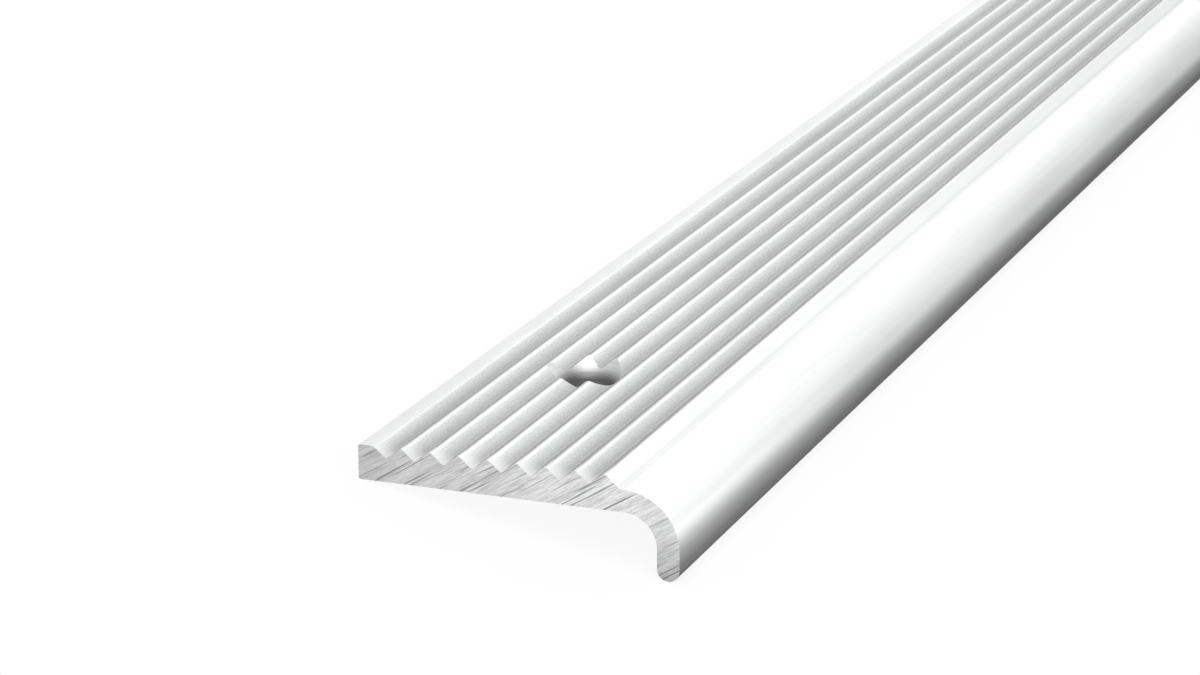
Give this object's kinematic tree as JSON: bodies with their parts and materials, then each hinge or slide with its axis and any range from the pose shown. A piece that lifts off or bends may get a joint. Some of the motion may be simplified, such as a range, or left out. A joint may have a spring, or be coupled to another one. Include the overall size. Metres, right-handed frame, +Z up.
{
  "type": "stair nosing",
  "caption": "Ribbed aluminium stair nosing profile with a rounded front edge, a short leg and countersunk screw holes, for covering the front edge of a stair tread.",
  "frame": {"origin": "on the floor, under the middle of the box around the part as it lies at rest on its back edge and the tip of its leg", "axes": "+Y along the stock, +X from the back edge to the nose, +Z up; the ribbed face is up and leans back by 11.43 degrees"},
  "size_m": [0.031, 1, 0.0077],
  "materials": {
    "anodised_aluminium": "satin silver anodised, with fine extrusion lines along the length and sawn ends"
  },
  "bodies": {
    "root": {"nosing_profile": "anodised_aluminium"}
  },
  "joints": []
}
